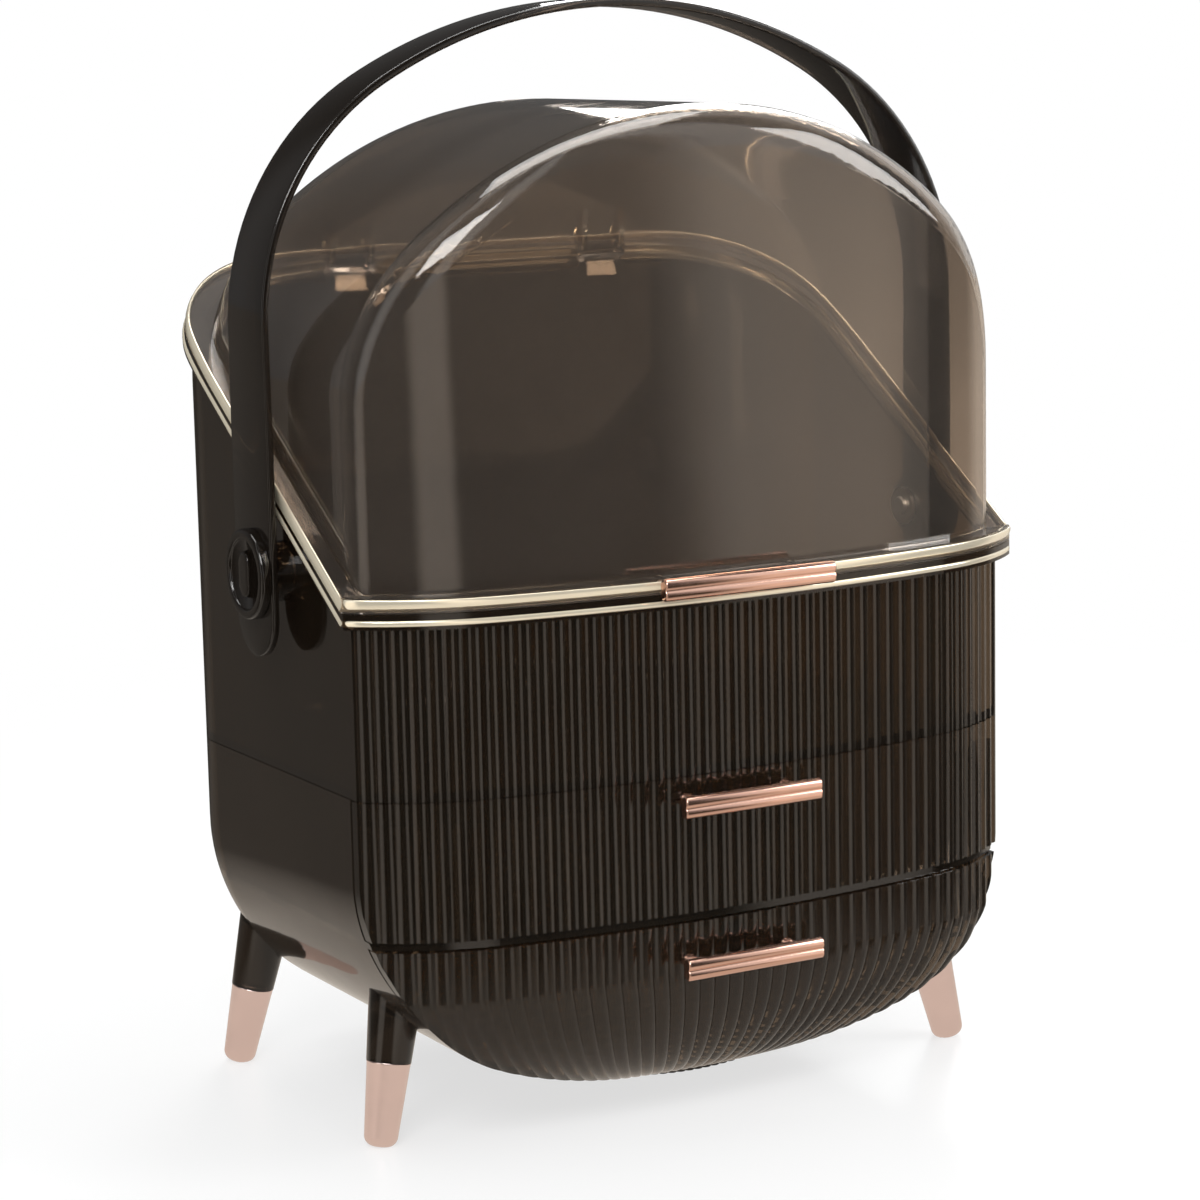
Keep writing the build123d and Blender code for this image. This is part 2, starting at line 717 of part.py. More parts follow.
with BuildPart() as lower_tray_space:
    add(body_form(lower_tray_inset + tray_wall))
    add(behind_roll(front_plate_inset + tray_wall), mode=Mode.INTERSECT)
    add(tray_inner_span.part, mode=Mode.INTERSECT)

for name, front, tray, space, bar_z in (
    ("upper", upper_drawer_front, upper_drawer_tray, upper_tray_space, upper_bar_z),
    ("lower", lower_drawer_front, lower_drawer_tray, lower_tray_space, lower_bar_z),
):
    with tray:
        add(space.part, mode=Mode.SUBTRACT)
        with BuildSketch(Plane.XZ.offset(-front_y)):
            with Locations(*post_places(drawer_bar_length, bar_z)):
                Circle(bar_screw_radius)
        extrude(amount=2 * bow_sag, mode=Mode.SUBTRACT)
    front.part.label = f"{name}_drawer_front"
    tray.part.label = f"{name}_drawer_tray"
    export_step(front.part, f"parts/{name}_drawer_front.step")
    export_step(tray.part, f"parts/{name}_drawer_tray.step")

# ---------------------------------------------------------------- pull bars and their screws
def bow_depth_at(across, inset):
    """The front's Y at a distance from the middle, drawn in by inset, within the centre arc."""
    return crest_y + bow_centre_radius - sqrt((bow_centre_radius - inset) ** 2 - across**2)


for name, length, bar_z, seat, screw_seat in (
    ("lid", lid_bar_length, lid_bar_z, behind_bow(-rim_flange_width), lid_front_inset + lid_wall),
    ("upper_drawer", drawer_bar_length, upper_bar_z, front_crests, front_plate_inset + tray_wall),
    ("lower_drawer", drawer_bar_length, lower_bar_z, front_crests, front_plate_inset + tray_wall),
):
    places = post_places(length, bar_z)
    with BuildPart() as bar:
        with BuildSketch(Plane.YZ.offset(-length / 2)):
            with Locations((bar_y, bar_z - bar_lobe_offset), (bar_y, bar_z + bar_lobe_offset)):
                Circle(bar_lobe_radius)
        extrude(amount=length)
        with BuildSketch(Plane.XZ.offset(-bar_y)):
            with Locations(*places):
                Circle(bar_post_radius)
        extrude(amount=bar_y - front_y)
        add(seat, mode=Mode.SUBTRACT)
        with BuildSketch(Plane.XZ.offset(-bar_y)):
            with Locations(*places):
                Circle(bar_screw_radius)
        extrude(amount=bar_y - front_y, mode=Mode.SUBTRACT)
    bar.part.label = f"{name}_bar"
    export_step(bar.part, f"parts/{name}_bar.step")

    for side, (screw_x, screw_z) in zip(("left", "right"), places):
        head_y = bow_depth_at(abs(screw_x) + bar_screw_head_radius, screw_seat)
        with BuildPart() as bar_screw:
            with BuildSketch(Plane.XZ.offset(-head_y)):
                with Locations((screw_x, screw_z)):
                    Circle(bar_screw_head_radius)
            extrude(amount=-bar_screw_head)
            fillet(bar_screw.edges().sort_by(Axis.Y)[-1], bar_screw_head / 2)
            with BuildSketch(Plane.XZ.offset(-head_y)):
                with Locations((screw_x, screw_z)):
                    Circle(bar_screw_radius - running_clearance)
            extrude(amount=head_y - bar_y)
        bar_screw.part.label = f"{name}_bar_screw_{side}"
        export_step(bar_screw.part, f"parts/{name}_bar_screw_{side}.step")


# ---------------------------------------------------------------- carry handle
def handle_arch(inset):
    """The handle's front view, from its tail up, drawn in by inset."""
    reach = handle_half_width - inset
    side_radius = handle_side_radius - inset
    crown_radius = handle_crown_radius - inset
    turn = degrees(acos((reach - side_radius) / (crown_radius - side_radius)))
    drop = side_radius * sin(radians(turn)) + crown_radius * (1 - sin(radians(turn)))
    foot = pivot_height - handle_tail - inset
    with BuildPart() as arch:
        with BuildSketch(Plane.XZ):
            with BuildLine():
                rise = Line((reach, foot), (reach, handle_top - inset - drop))
                shoulder = JernArc(rise @ 1, (0, 1), side_radius, turn)
                JernArc(shoulder @ 1, shoulder % 1, crown_radius, 90 - turn)
                Line((0, foot), (reach, foot))
                mirror(about=Plane.YZ)
            make_face()
        extrude(amount=body_depth, both=True)
    return arch.part


with BuildPart() as handle_side_view:
    tail_centre = pivot_height - handle_tail + handle_arm_width / 2
    with BuildSketch(Plane.YZ):
        with BuildLine():
            Polyline(
                (pivot_y - handle_arm_width / 2, tail_centre),
                (pivot_y + handle_arm_width / 2, tail_centre),
                (pivot_y + handle_arm_width / 2, tail_centre + 2 * handle_arm_width),
                (pivot_y + handle_top_width / 2, handle_top + handle_thickness),
                (pivot_y - handle_top_width / 2, handle_top + handle_thickness),
                (pivot_y - handle_arm_width / 2, tail_centre + 2 * handle_arm_width),
                close=True,
            )
        make_face()
        with Locations((pivot_y, tail_centre)):
            Circle(handle_arm_width / 2)
    extrude(amount=body_width, both=True)

with BuildPart() as carry_handle:
    add(handle_arch(0))
    add(handle_arch(handle_thickness), mode=Mode.SUBTRACT)
    add(handle_side_view.part, mode=Mode.INTERSECT)
    with BuildSketch(Plane.YZ):
        with Locations((pivot_y, pivot_height)):
            Circle(pivot_radius + running_clearance)
    extrude(amount=body_width, both=True, mode=Mode.SUBTRACT)
carry_handle.part.label = "carry_handle"
export_step(carry_handle.part, "parts/carry_handle.step")

# ---------------------------------------------------------------- handle pivots
pivot_pin_end = half - wall - case_seat
pivot_plane = Plane.YZ.offset(handle_half_width)

with BuildPart() as pivot_cap:
    with BuildSketch(pivot_plane):
        with Locations((pivot_y, pivot_height)):
            Circle(pivot_cap_radius)
    extrude(amount=pivot_cap_thickness)
    fillet(pivot_cap.faces().sort_by(Axis.X)[-1].edges(), pivot_cap_edge)
    with BuildSketch(pivot_plane.offset(pivot_cap_thickness)):
        with Locations((pivot_y, pivot_height)):
            Circle(pivot_cap_radius - pivot_ring_width)
    extrude(amount=-pivot_recess, mode=Mode.SUBTRACT)
    with BuildSketch(pivot_plane.offset(pivot_cap_thickness - pivot_recess)):
        with Locations((pivot_y, pivot_height)):
            SlotOverall(pivot_boss_length, pivot_boss_width, rotation=90)
    extrude(amount=pivot_recess)
    with BuildSketch(pivot_plane):
        with Locations((pivot_y, pivot_height)):
            Circle(pivot_radius)
    extrude(amount=pivot_pin_end - handle_half_width)
    with BuildSketch(Plane.YZ.offset(pivot_pin_end)):
        with Locations((pivot_y, pivot_height)):
            Circle(pivot_screw_radius + running_clearance)
    extrude(amount=pivot_screw_length + case_seat, mode=Mode.SUBTRACT)

with BuildPart() as pivot_screw:
    with BuildSketch(Plane.YZ.offset(pivot_pin_end)):
        with Locations((pivot_y, pivot_height)):
            Circle(pivot_washer_radius)
    extrude(amount=-pivot_washer_thickness)
    with BuildSketch(Plane.YZ.offset(pivot_pin_end - pivot_washer_thickness)):
        with Locations((pivot_y, pivot_height)):
            Circle(2 * pivot_screw_radius)
    extrude(amount=-pivot_washer_thickness)
    fillet(pivot_screw.faces().sort_by(Axis.X)[0].edges(), pivot_washer_thickness / 2)
    with BuildSketch(Plane.YZ.offset(pivot_pin_end)):
        with Locations((pivot_y, pivot_height)):
            Circle(pivot_screw_radius)
    extrude(amount=pivot_screw_length)

for name, right in (("pivot_cap", pivot_cap), ("pivot_screw", pivot_screw)):
    with BuildPart() as left:
        mirror(right.part, about=Plane.YZ)
    right.part.label = f"{name}_right"
    left.part.label = f"{name}_left"
    export_step(right.part, f"parts/{name}_right.step")
    export_step(left.part, f"parts/{name}_left.step")
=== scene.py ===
"""Looks of a smoked makeup box with two drawers, a clear lid, a folding handle and splayed legs.

Everything is in metres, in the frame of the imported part: +X right, +Y back, +Z up, floor at zero.
"""
import json
import math

import bmesh
import bpy
from bpy.props import FloatProperty, FloatVectorProperty, IntProperty, PointerProperty
from mathutils import Matrix, Vector


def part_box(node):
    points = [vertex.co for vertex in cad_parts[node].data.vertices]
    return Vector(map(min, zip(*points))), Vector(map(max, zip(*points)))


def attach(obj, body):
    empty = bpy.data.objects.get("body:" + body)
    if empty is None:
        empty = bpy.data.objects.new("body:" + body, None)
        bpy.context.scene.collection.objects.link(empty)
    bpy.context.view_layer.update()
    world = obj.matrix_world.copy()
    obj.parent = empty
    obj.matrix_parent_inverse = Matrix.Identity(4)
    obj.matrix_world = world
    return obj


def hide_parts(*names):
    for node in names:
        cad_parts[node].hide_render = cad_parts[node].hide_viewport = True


bl_info = {
    "name": "Smoked makeup box",
    "version": (1, 0, 0),
    "blender": (4, 5, 0),
    "location": "3D View > Sidebar > Makeup Box",
    "description": "Dresses the packed makeup box with its plastics, metals and small forms",
    "category": "Object",
}

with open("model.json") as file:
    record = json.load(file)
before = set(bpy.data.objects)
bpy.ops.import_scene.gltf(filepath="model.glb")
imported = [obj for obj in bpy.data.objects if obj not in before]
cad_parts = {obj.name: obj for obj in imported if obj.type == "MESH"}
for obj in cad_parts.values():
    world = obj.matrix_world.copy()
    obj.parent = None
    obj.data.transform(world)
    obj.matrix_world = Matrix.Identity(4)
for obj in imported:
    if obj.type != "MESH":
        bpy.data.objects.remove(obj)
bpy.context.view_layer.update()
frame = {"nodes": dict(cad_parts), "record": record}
NODES = frame["nodes"]
MM = 0.001

# The handle's pivot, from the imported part
PIVOT_LOW, PIVOT_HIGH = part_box("pivot_cap_right")
PIVOT = Vector((0, (PIVOT_LOW.y + PIVOT_HIGH.y) / 2, (PIVOT_LOW.z + PIVOT_HIGH.z) / 2))

# The body's outline from above: a bowed front, two round front corners and two round back edges
CREST_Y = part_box("upper_drawer_front")[0].y
BACK_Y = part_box("lower_case")[1].y
CORNER_Y = BACK_Y - 176 * MM
HALF_WIDTH = 150 * MM
BOW_RADIUS = 600 * MM
BOW_HALF_WIDTH = 102 * MM
CORNER_RADIUS = 95 * MM
BACK_EDGE_RADIUS = 38 * MM

# The bin's slanted rim, and the shoulders that round its high end
RIM_FRONT_Z = 218 * MM
RIM_SLOPE = 0.658
RIM_NORMAL = Vector((0, -0.55, 0.835))
SHOULDER_Z = 294 * MM
SHOULDER_RADIUS = 90 * MM

# Steps along the rim's bow, front corners, sides, back edges and back
BOW_STEPS, CORNER_STEPS, SIDE_STEPS, EDGE_STEPS, BACK_STEPS = 24, 12, 30, 18, 12

# The beads' middle line: how far outside the body it runs, and each one's lift off the rim
BEAD_REACH = 4.6 * MM
LID_BEAD_LIFT = 3.3 * MM
BIN_BEAD_LIFT = -3.6 * MM
BEAD_STEPS = 16

# Where the legs' axes meet the floor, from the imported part's mounts, and how far a leg leans
# sideways and to the middle as it rises
MOUNTS = {mount["name"]: mount["pos_m"] for mount in frame["record"]["mounts"]}
FOOT_X = MOUNTS["foot_front_right"][0]
FOOT_Y = {depth: MOUNTS[f"foot_{depth}_right"][1] for depth in ("front", "back")}
LEG_INWARD, LEG_TO_MIDDLE, LEG_RISE = 12, 6, 60

# A leg tip: its height, its foot's flat and rounding, and its eased upper edge as millimetres
# (radius, below its top)
TIP_HEIGHT = 33 * MM
TIP_FOOT_FLAT, TIP_FOOT_ROUND = 2.6 * MM, 4.2 * MM
TIP_EDGE = ((8.75, 0.8), (8.95, 0.35), (8.8, 0.0))

# The handle's band: steps round its ends, up its arms, along its arcs and round each edge,
# the least half width at an end's tip, and where the taper starts, in end radii
END_STEPS, ARM_STEPS, ARC_STEPS, BAND_EDGE_STEPS = 12, 12, 20, 5
BAND_LEAST_HALF = 0.02 * MM
TAPER_START = 4

# A pivot cap: its shank, its disc, the roundings of the disc's back, rim and lip, the inset of the
# lip's centre from the rim, and the sunk floor's inset and depths
SHANK_RADIUS = 5 * MM
DISC_THICKNESS = 4.5 * MM
DISC_BACK_ROUND = 0.6 * MM
DISC_RIM_ROUND = 1.6 * MM
DISC_LIP_ROUND = 1.0 * MM
DISC_LIP_INSET = 3.0 * MM
DISC_FLOOR_INSET, DISC_FLOOR_DEPTH, DISC_MIDDLE_DEPTH = 4.4 * MM, 1.5 * MM, 1.3 * MM

# The oval boss on a pivot cap: its outline, and the scale and depth in millimetres of each level
# of its dome
BOSS_HALF_LENGTH, BOSS_HALF_WIDTH, BOSS_STEPS = 9 * MM, 4.5 * MM, 40
BOSS_LEVELS = ((1.0, 1.6), (1.0, 0.5), (0.96, 0.22), (0.86, 0.06), (0.5, 0.01))

# A pull bar's posts, and the turns in degrees that ease the ends of its rounds
POST_RADIUS, POST_COLLAR_RADIUS, POST_INSET = 2.4 * MM, 2.7 * MM, 9 * MM
POST_COLLAR, POST_COLLAR_EASE, POST_STEPS = 1.2 * MM, 0.9 * MM, 24
BAR_END_ROUND = 0.7 * MM
BAR_END_TURNS = (90, 70, 45, 20, 0)
BAR_ROUND_STEPS = 20

# Bright and dark panels that gloss sees round the studio: turn from the back (0.5), and shade
STUDIO_PANELS = (
    (0.02, 0.05), (0.04, 1.0), (0.07, 1.0), (0.09, 0.05), (0.17, 0.03), (0.20, 1.0), (0.24, 1.0),
    (0.27, 0.05), (0.36, 0.16), (0.44, 0.16), (0.49, 0.05), (0.58, 0.08), (0.63, 0.65),
    (0.73, 0.65), (0.77, 0.08), (0.84, 0.03), (0.87, 1.0), (0.91, 1.0), (0.94, 0.04),
)
PANEL_GAP_SHADE = 0.05

# Lamps: name, place, the point each faces, size and power in watts
LAMPS = (
    ("key", (-1.1, -1.3, 1.5), (0, 0, 0.2), (0.9, 0.9), 26.0),
    ("fill", (1.5, -0.9, 1.0), (0, 0, 0.25), (0.7, 1.1), 16.0),
    ("top", (0.1, 0.2, 1.8), (0, 0, 0.2), (1.2, 0.8), 16.0),
    ("rim", (0.9, 1.2, 1.1), (0, 0, 0.25), (0.6, 0.9), 14.0),
)
FLOOR_REACH = 12.0

NUMBER, COLOUR, VECTOR = "NodeSocketFloat", "NodeSocketColor", "NodeSocketVector"


# ------------------------------------------------------------------ properties
class BoxSizes(bpy.types.PropertyGroup):
    """Sizes of the pieces that are formed here."""

    handle_half_width: FloatProperty(
        name="Handle half width", description="Middle to the outside of an arm",
        default=0.162, unit="LENGTH")
    handle_thickness: FloatProperty(
        name="Handle thickness", description="Thickness of the handle's band",
        default=0.0034, unit="LENGTH")
    handle_arm_width: FloatProperty(
        name="Arm width", description="Width of the handle's arms at the pivots",
        default=0.034, unit="LENGTH")
    handle_top_width: FloatProperty(
        name="Top width", description="Width of the handle at its crown",
        default=0.029, unit="LENGTH")
    handle_side_radius: FloatProperty(
        name="Shoulder radius", description="Radius of the handle's shoulders",
        default=0.110, unit="LENGTH")
    handle_crown_radius: FloatProperty(
        name="Crown radius", description="Radius of the handle's crown",
        default=0.215, unit="LENGTH")
    edge_round: FloatProperty(
        name="Edge rounding", description="Rounding of the handle's edges",
        default=0.0012, unit="LENGTH")
    bar_lobe: FloatProperty(
        name="Bar lobe radius", description="Radius of each half of a pull bar",
        default=0.0025, unit="LENGTH")
    bar_offset: FloatProperty(
        name="Bar lobe offset", description="From a bar's middle to each half's centre",
        default=0.0019, unit="LENGTH")
    bead_depth: FloatProperty(
        name="Rim bead depth", description="How far the rim's beads round outwards",
        default=0.0009, unit="LENGTH")
    lid_bead_height: FloatProperty(
        name="Lid bead height", description="Height of the bead round the lid's foot",
        default=0.0056, unit="LENGTH")
    bin_bead_height: FloatProperty(
        name="Bin bead height", description="Height of the bead round the bin's rim",
        default=0.0028, unit="LENGTH")
    lathe_steps: IntProperty(
        name="Lathe steps", description="Steps round a turned piece", default=64, min=12)


class BoxFinishes(bpy.types.PropertyGroup):
    """Colours of the plastics and metals."""

    smoke: FloatVectorProperty(
        name="Smoke", description="Tint of the case, bin and drawer fronts",
        subtype="COLOR", default=(0.145, 0.104, 0.070))
    smoke_dark: FloatVectorProperty(
        name="Dark smoke", description="Tint of the handle, its pivot caps and the legs",
        subtype="COLOR", default=(0.030, 0.022, 0.016))
    smoke_clear: FloatVectorProperty(
        name="Clear smoke", description="Tint of the lid and the trays",
        subtype="COLOR", default=(0.73, 0.645, 0.565))
    rose_gold: FloatVectorProperty(
        name="Rose gold", description="Plated metal of the pull bars",
        subtype="COLOR", default=(0.80, 0.49, 0.38))
    pale_gold: FloatVectorProperty(
        name="Pale rose gold", description="Plated metal of the leg tips",
        subtype="COLOR", default=(0.93, 0.73, 0.69))
    # The beads' bright pale gold is painted highlight: it stands in for the gloss and warm
    # reflections of the smoked plastic rims
    rim_sheen: FloatVectorProperty(
        name="Rim sheen", description="Bright beads along the rims",
        subtype="COLOR", default=(1.0, 0.90, 0.70))
    steel: FloatVectorProperty(
        name="Steel", description="Screws and pins",
        subtype="COLOR", default=(0.62, 0.61, 0.59))


class StudioSettings(bpy.types.PropertyGroup):
    """Camera and lamps."""

    azimuth: FloatProperty(
        name="Azimuth", description="Camera's turn to the object's left",
        subtype="ANGLE", default=math.radians(29.438))
    elevation: FloatProperty(
        name="Elevation", description="Camera's height above level",
        subtype="ANGLE", default=math.radians(9.606))
    roll: FloatProperty(
        name="Roll", description="Camera's roll", subtype="ANGLE", default=math.radians(-1.208))
    distance: FloatProperty(
        name="Distance", description="Camera to target", unit="LENGTH", default=1.449545)
    target: FloatVectorProperty(
        name="Target", description="Point the camera looks at", subtype="XYZ",
        default=(-0.008174, -0.009360, 0.200303))
    lens: FloatProperty(
        name="Lens", description="Focal length", unit="CAMERA", default=105.0)
    lamp_power: FloatProperty(
        name="Lamp power", description="Scale of all the lamps", default=1.0, min=0.0)


# ------------------------------------------------------------------ shader groups
def add_node(tree, kind, values=(), **settings):
    """A node with its settings and the given default values of its inputs."""
    node = tree.nodes.new(kind)
    for key, value in settings.items():
        setattr(node, key, value)
    for key, value in dict(values).items():
        node.inputs[key].default_value = value
    return node


def join(tree, *links):
    """Links sockets, each link as (node, output, node, input)."""
    for source, output, target, entry in links:
        tree.links.new(source.outputs[output], target.inputs[entry])


def new_group(name, inputs, outputs):
    """An empty shader group: its inputs as (name, kind, default), its outputs as (name, kind)."""
    tree = bpy.data.node_groups.new(name, "ShaderNodeTree")
    for label, kind, default in inputs:
        socket = tree.interface.new_socket(label, in_out="INPUT", socket_type=kind)
        socket.default_value = default
    for label, kind in outputs:
        tree.interface.new_socket(label, in_out="OUTPUT", socket_type=kind)
    return tree, tree.nodes.new("NodeGroupInput"), tree.nodes.new("NodeGroupOutput")


def moulded_group():
    """Slow waviness and fine smudges of moulded plastic."""
    tree, source, sink = new_group(
        "moulded plastic",
        [("Scale", NUMBER, 18.0), ("Roughness", NUMBER, 0.06), ("Smudge", NUMBER, 0.05)],
        [("Roughness", NUMBER), ("Height", NUMBER)])
    where = add_node(tree, "ShaderNodeTexCoord")
    wave = add_node(tree, "ShaderNodeTexNoise", {"Detail": 2.0, "Roughness": 0.4})
    smudge = add_node(
        tree, "ShaderNodeTexNoise", {"Scale": 95.0, "Detail": 6.0, "Roughness": 0.65})
    spread = add_node(tree, "ShaderNodeMapRange", {"From Min": 0.42, "From Max": 0.72})
    total = add_node(tree, "ShaderNodeMath", operation="ADD")
    join(
        tree,
        (where, "Object", wave, "Vector"),
        (where, "Object", smudge, "Vector"),
        (source, "Scale", wave, "Scale"),
        (smudge, "Fac", spread, "Value"),
        (source, "Smudge", spread, "To Max"),
        (source, "Roughness", total, 0),
        (spread, "Result", total, 1),
        (total, "Value", sink, "Roughness"),
        (wave, "Fac", sink, "Height"))
    return tree


def tint_group():
    """A tint that drifts slowly between two depths."""
    tree, source, sink = new_group(
        "tint drift",
        [("Tint", COLOUR, (0.5, 0.5, 0.5, 1.0)), ("Deep Tint", COLOUR, (0.4, 0.4, 0.4, 1.0)),
         ("Scale", NUMBER, 7.0)],
        [("Color", COLOUR)])
    where = add_node(tree, "ShaderNodeTexCoord")
    noise = add_node(tree, "ShaderNodeTexNoise", {"Detail": 3.0, "Roughness": 0.5})
    spread = add_node(tree, "ShaderNodeMapRange", {"From Min": 0.35, "From Max": 0.65})
    blend = add_node(tree, "ShaderNodeMix", data_type="RGBA")
    join(
        tree,
        (where, "Object", noise, "Vector"),
        (source, "Scale", noise, "Scale"),
        (noise, "Fac", spread, "Value"),
        (spread, "Result", blend, "Factor"),
        (source, "Tint", blend, "A"),
        (source, "Deep Tint", blend, "B"),
        (blend, "Result", sink, "Color"))
    return tree


def brushed_group():
    """Fine lines along one axis and faint rub marks of plated metal."""
    tree, source, sink = new_group(
        "brushed plating",
        [("Stretch", VECTOR, (40.0, 900.0, 900.0)), ("Roughness", NUMBER, 0.14),
         ("Spread", NUMBER, 0.10)],
        [("Roughness", NUMBER), ("Height", NUMBER)])
    where = add_node(tree, "ShaderNodeTexCoord")
    stretch = add_node(tree, "ShaderNodeVectorMath", operation="MULTIPLY")
    lines = add_node(
        tree, "ShaderNodeTexNoise", {"Scale": 1.0, "Detail": 4.0, "Roughness": 0.6})
    rub = add_node(tree, "ShaderNodeTexNoise", {"Scale": 60.0, "Detail": 5.0, "Roughness": 0.6})
    spread = add_node(tree, "ShaderNodeMapRange", {"From Min": 0.4, "From Max": 0.7})
    total = add_node(tree, "ShaderNodeMath", operation="ADD")
    join(
        tree,
        (where, "Object", stretch, 0),
        (source, "Stretch", stretch, 1),
        (stretch, "Vector", lines, "Vector"),
        (where, "Object", rub, "Vector"),
        (rub, "Fac", spread, "Value"),
        (source, "Spread", spread, "To Max"),
        (source, "Roughness", total, 0),
        (spread, "Result", total, 1),
        (total, "Value", sink, "Roughness"),
        (lines, "Fac", sink, "Height"))
    return tree


def panels_group():
    """Bright and dark upright panels round the studio, by the turn of a direction."""
    tree, source, sink = new_group(
        "studio panels", [("Vector", VECTOR, (0.0, 1.0, 0.0))], [("Level", NUMBER)])
    parts = add_node(tree, "ShaderNodeSeparateXYZ")
    turn = add_node(tree, "ShaderNodeMath", operation="ARCTAN2")
    spread = add_node(tree, "ShaderNodeMapRange", {"From Min": -math.pi, "From Max": math.pi})
    panels = add_node(tree, "ShaderNodeValToRGB")
    ramp = panels.color_ramp
    ramp.interpolation = "EASE"
    for end in ramp.elements:
        end.color = (PANEL_GAP_SHADE, PANEL_GAP_SHADE, PANEL_GAP_SHADE, 1)
    for place, shade in STUDIO_PANELS:
        ramp.elements.new(place).color = (shade, shade, shade, 1)
    join(
        tree,
        (source, "Vector", parts, "Vector"),
        (parts, "X", turn, 0),
        (parts, "Y", turn, 1),
        (turn, "Value", spread, "Value"),
        (spread, "Result", panels, "Fac"),
        (panels, "Color", sink, "Level"))
    return tree


def place_group(tree, name, make, values=()):
    """A node of the shader group of that name, which is made on first use, with its own values."""
    node = tree.nodes.new("ShaderNodeGroup")
    node.node_tree = bpy.data.node_groups.get(name) or make()
    for key, value in dict(values).items():
        node.inputs[key].default_value = value
    return node


# ------------------------------------------------------------------ materials
def start_material(name):
    """A material with one Principled shader, and its tree and shader."""
    material = bpy.data.materials.new(name)
    material.use_nodes = True
    return material, material.node_tree, material.node_tree.nodes["Principled BSDF"]


def tints(rgb, deep):
    """The tint drift's two colours: a colour property, and that colour scaled by deep."""
    return {"Tint": (*rgb, 1.0), "Deep Tint": (*(part * deep for part in rgb), 1.0)}


def cover(tree, shader, surface, drift, bump):
    """Feeds a shader's colour, roughness and normal from its groups and its bump."""
    join(
        tree,
        (drift, "Color", shader, "Base Color"),
        (surface, "Roughness", shader, "Roughness"),
        (surface, "Height", bump, "Height"),
        (bump, "Normal", shader, "Normal"))


def smoked_plastic(name, tint, clearness, roughness, wave=0.02):
    """Glossy see-through plastic with a smoke tint."""
    material, tree, shader = start_material(name)
    shader.inputs["IOR"].default_value = 1.49
    shader.inputs["Transmission Weight"].default_value = clearness
    cover(
        tree, shader,
        place_group(
            tree, "moulded plastic", moulded_group, {"Roughness": roughness, "Smudge": 0.035}),
        place_group(tree, "tint drift", tint_group, tints(tint, deep=0.86)),
        add_node(tree, "ShaderNodeBump", {"Strength": wave, "Distance": 0.02}))
    return material


def plated_metal(name, tint, roughness, stretch, metallic=1.0):
    """Polished metal with fine lines."""
    material, tree, shader = start_material(name)
    shader.inputs["Metallic"].default_value = metallic
    cover(
        tree, shader,
        place_group(
            tree, "brushed plating", brushed_group, {"Roughness": roughness, "Stretch": stretch}),
        place_group(tree, "tint drift", tint_group, {**tints(tint, deep=0.93), "Scale": 30.0}),
        add_node(tree, "ShaderNodeBump", {"Strength": 0.04, "Distance": 0.001}))
    return material


def dark_smoke(context):
    """The dark plastic of the handle, its pivot caps and the legs, made on first use."""
    return bpy.data.materials.get("dark smoke") or smoked_plastic(
        "dark smoke", context.scene.box_finishes.smoke_dark, clearness=0.75, roughness=0.05)


def dress(names, material):
    """Gives CAD nodes a material."""
    for name in names:
        materials = NODES[name].data.materials
        materials.clear()
        materials.append(material)


# ------------------------------------------------------------------ mesh helpers
def make_piece(name, points, faces, material, body, replaced=()):
    """A smooth-shaded mesh that rides on a body."""
    mesh = bpy.data.meshes.new(name)
    mesh.from_pydata([tuple(p) for p in points], [], faces)
    form = bmesh.new()
    form.from_mesh(mesh)
    bmesh.ops.remove_doubles(form, verts=form.verts, dist=1e-6)
    bmesh.ops.recalc_face_normals(form, faces=form.faces)
    form.to_mesh(mesh)
    form.free()
    mesh.shade_smooth()
    mesh.materials.append(material)
    piece = bpy.data.objects.new(name, mesh)
    bpy.context.scene.collection.objects.link(piece)
    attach(piece, body)
    if replaced:
        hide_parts(*replaced)


def ring_faces(rings, steps, loop=False):
    """Faces that join rings of points, which either close into a loop or end in two caps."""
    faces = []
    for ring in range(rings if loop else rings - 1):
        here, there = ring * steps, (ring + 1) % rings * steps
        for step in range(steps):
            after = (step + 1) % steps
            faces.append((here + step, here + after, there + after, there + step))
    if not loop:
        faces.append(tuple(reversed(range(steps))))
        faces.append(tuple((rings - 1) * steps + step for step in range(steps)))
    return faces


def add_part(points, faces, more_points, more_faces):
    """Adds another part's points and faces to a mesh's lists."""
    start = len(points)
    points += more_points
    faces += [tuple(start + index for index in face) for face in more_faces]


def turned(profile, origin, axis, steps):
    """Points and faces of a profile of (radius, along) turned about an axis."""
    axis = axis.normalized()
    side = axis.orthogonal().normalized()
    other = axis.cross(side)
    points = []
    for radius, along in profile:
        for step in range(steps):
            angle = 2 * math.pi * step / steps
            spoke = side * math.cos(angle) + other * math.sin(angle)
            points.append(origin + axis * along + spoke * radius)
    return points, ring_faces(len(profile), steps)


def arc_points(centre, radius, start, end, steps):
    """Points (u, v) along an arc, angles in degrees."""
    angles = [math.radians(start + (end - start) * k / steps) for k in range(steps + 1)]
    return [(centre[0] + radius * math.cos(a), centre[1] + radius * math.sin(a)) for a in angles]


